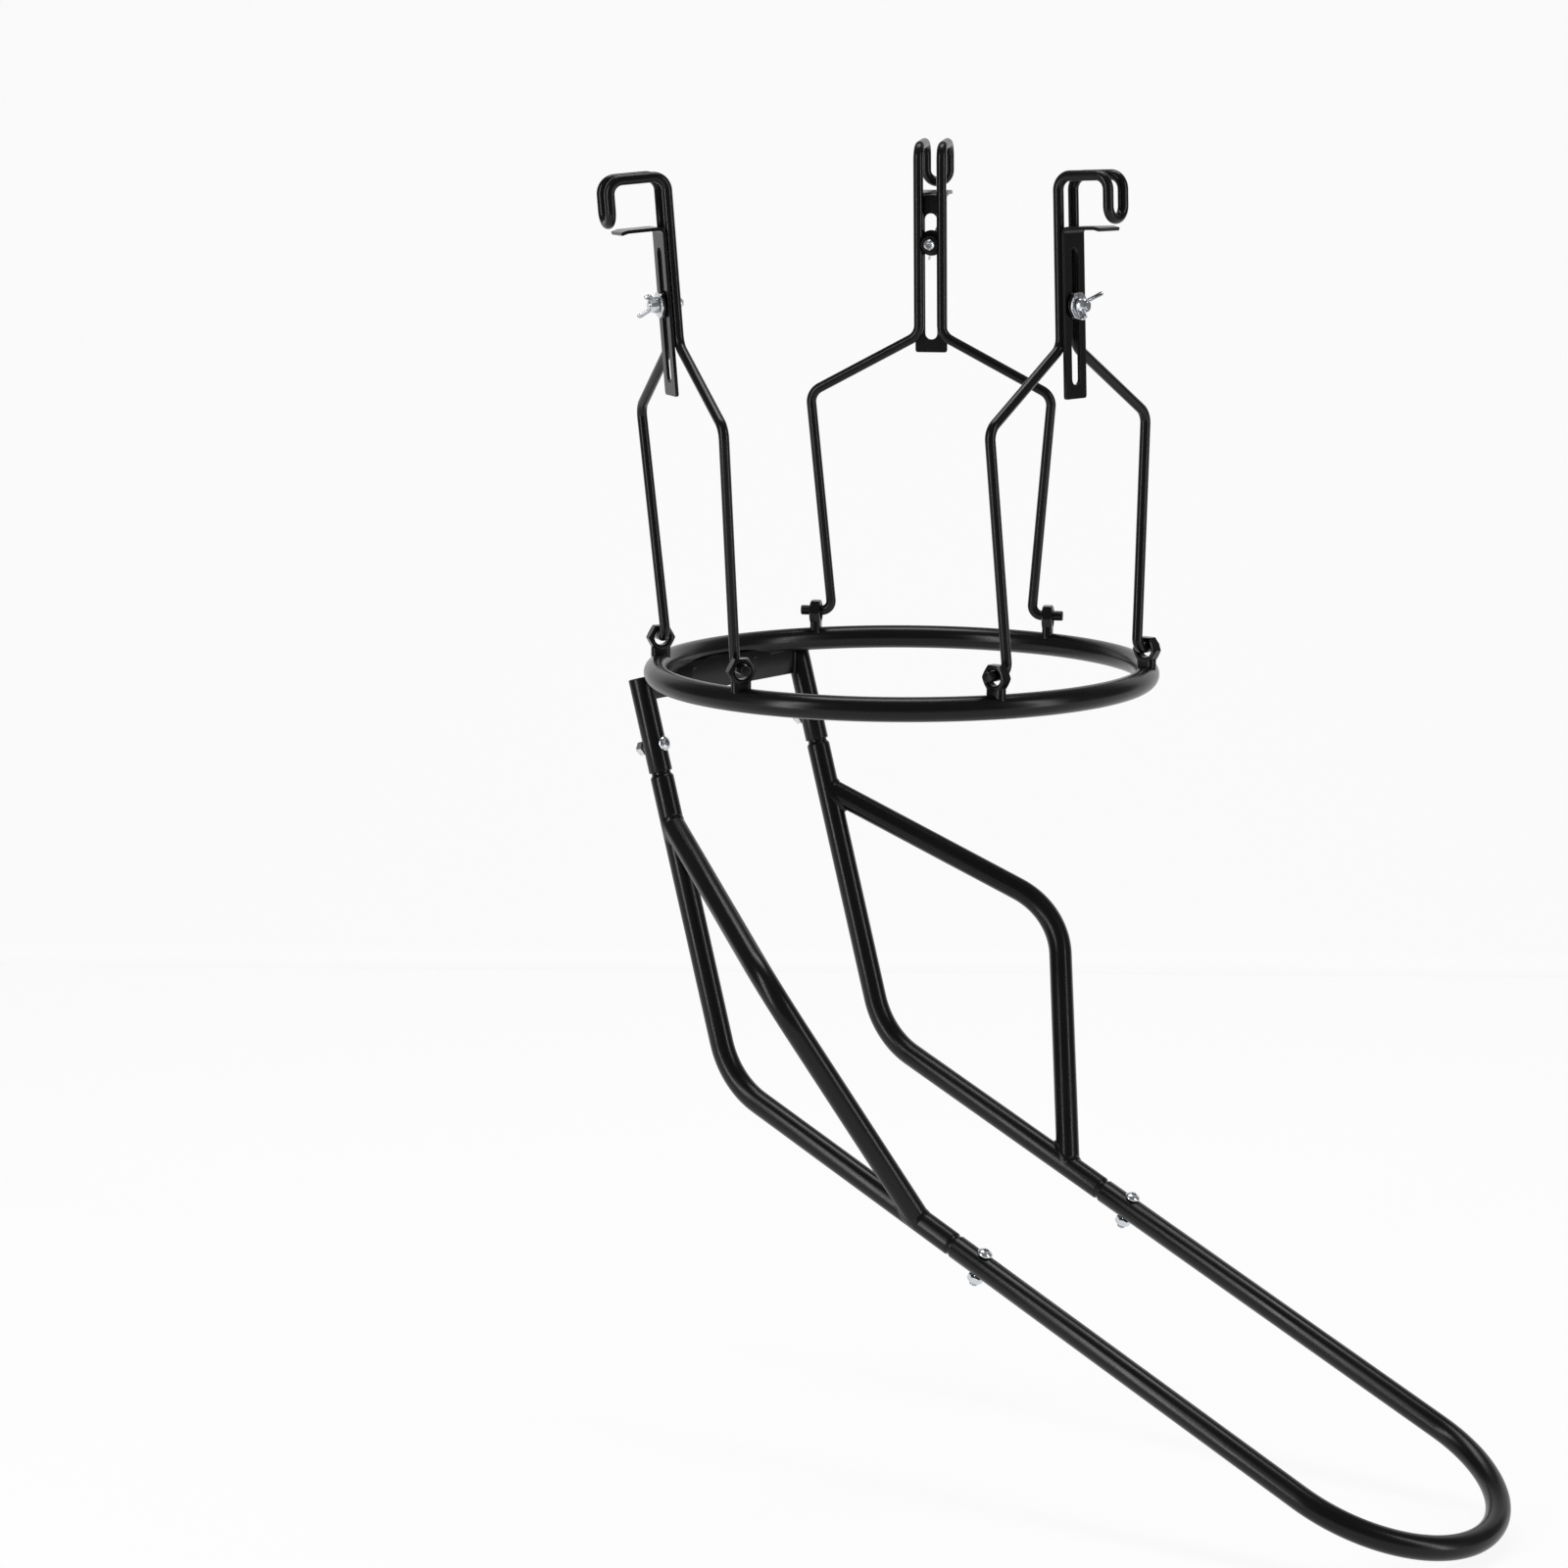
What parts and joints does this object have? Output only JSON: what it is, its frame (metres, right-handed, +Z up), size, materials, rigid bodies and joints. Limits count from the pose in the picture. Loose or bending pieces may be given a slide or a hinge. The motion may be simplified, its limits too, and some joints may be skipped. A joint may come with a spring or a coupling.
{
  "type": "ball return frame",
  "caption": "Steel ring hung by hinged hook hangers with slotted clamps, and a two-rail chute with flared side rails that leads a dropped ball forward and down.",
  "frame": {"origin": "centre of the ring, in the plane of the ring tube's centre line", "axes": "+Z up, away from the chute and towards the hooks; +X to the picture's right; +Y away from its camera"},
  "size_m": [0.5138, 0.4279, 0.7554],
  "materials": {
    "powder_coat": "semi-gloss black powder coat on steel",
    "zinc_plate": "bright zinc-plated steel"
  },
  "bodies": {
    "frame": {"ring_tube": "powder_coat", "back_bar": "powder_coat", "socket_left": "powder_coat", "socket_right": "powder_coat", "lug_post_a1": "powder_coat", "lug_post_a2": "powder_coat", "lug_post_b1": "powder_coat", "lug_post_b2": "powder_coat", "lug_post_c1": "powder_coat", "lug_post_c2": "powder_coat", "lug_a1": "powder_coat", "lug_a2": "powder_coat", "lug_b1": "powder_coat", "lug_b2": "powder_coat", "lug_c1": "powder_coat", "lug_c2": "powder_coat", "main_rail_left": "powder_coat", "main_rail_right": "powder_coat", "side_rail_left": "powder_coat", "side_rail_right": "powder_coat", "end_loop": "powder_coat", "joint_bolt_upper_left": "zinc_plate", "joint_bolt_upper_right": "zinc_plate", "joint_bolt_lower_left": "zinc_plate", "joint_bolt_lower_right": "zinc_plate", "joint_nut_upper_left": "zinc_plate", "joint_nut_upper_right": "zinc_plate", "joint_nut_lower_left": "zinc_plate", "joint_nut_lower_right": "zinc_plate"},
    "hanger_a": {"hanger_wire_a": "powder_coat"},
    "hanger_b": {"hanger_wire_b": "powder_coat"},
    "hanger_c": {"hanger_wire_c": "powder_coat"},
    "bolt_a": {"clamp_bolt_a": "zinc_plate", "inner_washer_a": "powder_coat", "spacer_disc_a": "powder_coat", "outer_washer_a": "zinc_plate"},
    "bolt_b": {"clamp_bolt_b": "zinc_plate", "inner_washer_b": "powder_coat", "spacer_disc_b": "powder_coat", "outer_washer_b": "zinc_plate"},
    "bolt_c": {"clamp_bolt_c": "zinc_plate", "inner_washer_c": "powder_coat", "spacer_disc_c": "powder_coat", "outer_washer_c": "zinc_plate"},
    "plate_a": {"clamp_plate_a": "powder_coat"},
    "plate_b": {"clamp_plate_b": "powder_coat"},
    "plate_c": {"clamp_plate_c": "powder_coat"},
    "wing_a": {"wing_nut_a": "zinc_plate"},
    "wing_b": {"wing_nut_b": "zinc_plate"},
    "wing_c": {"wing_nut_c": "zinc_plate"}
  },
  "joints": [
    {"name": "hanger_a_hinge", "type": "hinge", "parent": "frame", "child": "hanger_a", "pos_m": [-0.11587, -0.04611, 0.0176], "axis": [0.3697, -0.9291, 0], "range_deg": [-20, 110]},
    {"name": "hanger_b_hinge", "type": "hinge", "parent": "frame", "child": "hanger_b", "pos_m": [0.09787, -0.07729, 0.0176], "axis": [0.6198, 0.7848, 0], "range_deg": [-20, 110]},
    {"name": "hanger_c_hinge", "type": "hinge", "parent": "frame", "child": "hanger_c", "pos_m": [0.018, 0.1234, 0.0176], "axis": [-0.9895, 0.1444, 0], "range_deg": [-20, 110]},
    {"name": "bolt_a_slide", "type": "slide", "parent": "hanger_a", "child": "bolt_a", "axis": [-0.0729, -0.029, 0.9969], "range_m": [-0.012, 0.01]},
    {"name": "bolt_b_slide", "type": "slide", "parent": "hanger_b", "child": "bolt_b", "axis": [-0.0274, 0.0216, 0.9994], "range_m": [-0.012, 0.01]},
    {"name": "bolt_c_slide", "type": "slide", "parent": "hanger_c", "child": "bolt_c", "axis": [-0.0101, -0.069, 0.9976], "range_m": [-0.042, 0.01]},
    {"name": "plate_a_slide", "type": "slide", "parent": "bolt_a", "child": "plate_a", "axis": [-0.0729, -0.029, 0.9969], "range_m": [-0.028, 0.014]},
    {"name": "plate_b_slide", "type": "slide", "parent": "bolt_b", "child": "plate_b", "axis": [-0.0274, 0.0216, 0.9994], "range_m": [-0.028, 0.014]},
    {"name": "plate_c_slide", "type": "slide", "parent": "bolt_c", "child": "plate_c", "axis": [-0.0101, -0.069, 0.9976], "range_m": [-0.014, 0.014]},
    {"name": "wing_a_spin", "type": "hinge", "parent": "bolt_a", "child": "wing_a", "pos_m": [-0.13049, -0.05193, 0.21748], "axis": [-0.9263, -0.3686, -0.0785], "continuous": true},
    {"name": "wing_b_spin", "type": "hinge", "parent": "bolt_b", "child": "wing_b", "pos_m": [0.09238, -0.07295, 0.21798], "axis": [0.7843, -0.6194, 0.0349], "continuous": true},
    {"name": "wing_c_spin", "type": "hinge", "parent": "bolt_c", "child": "wing_c", "pos_m": [0.01572, 0.10777, 0.24355], "axis": [0.144, 0.9871, 0.0698], "continuous": true}
  ]
}
